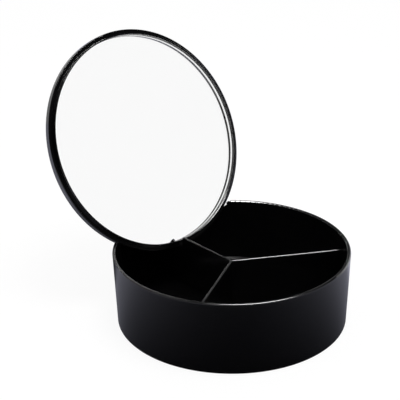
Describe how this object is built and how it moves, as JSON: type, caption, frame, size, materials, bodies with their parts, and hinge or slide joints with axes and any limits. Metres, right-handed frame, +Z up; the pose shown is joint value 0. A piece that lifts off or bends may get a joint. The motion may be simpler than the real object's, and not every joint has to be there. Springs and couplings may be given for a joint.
{
  "type": "vanity box with mirror lid",
  "caption": "Low round black vanity box divided into compartments, with a loose mirror lid that stands up in a slot in the divider.",
  "frame": {"origin": "centre of the face that the box rests on, under the middle of the divider", "axes": "+Z up; +Y along the slotted vane, from the middle of the box towards the standing lid; the mirror faces -Y and is tipped up"},
  "size_m": [0.1999, 0.255, 0.2204],
  "materials": {
    "tub_plastic": "moulded satin gloss, black",
    "divider_plastic": "moulded satin gloss, black",
    "lid_plastic": "moulded satin gloss, black",
    "mirror": "silvered glass with a plain polished edge",
    "tape": "white foam tape"
  },
  "bodies": {
    "box": {"tub": "tub_plastic", "divider": "divider_plastic"},
    "lid": {"lid_shell": "lid_plastic", "mirror_glass": "mirror", "mirror_tape": "tape"}
  },
  "joints": [
    {"name": "lid_lift", "type": "slide", "parent": "box", "child": "lid", "axis": [0, 0.4242, 0.9056], "range_m": [0, 0.08]}
  ]
}
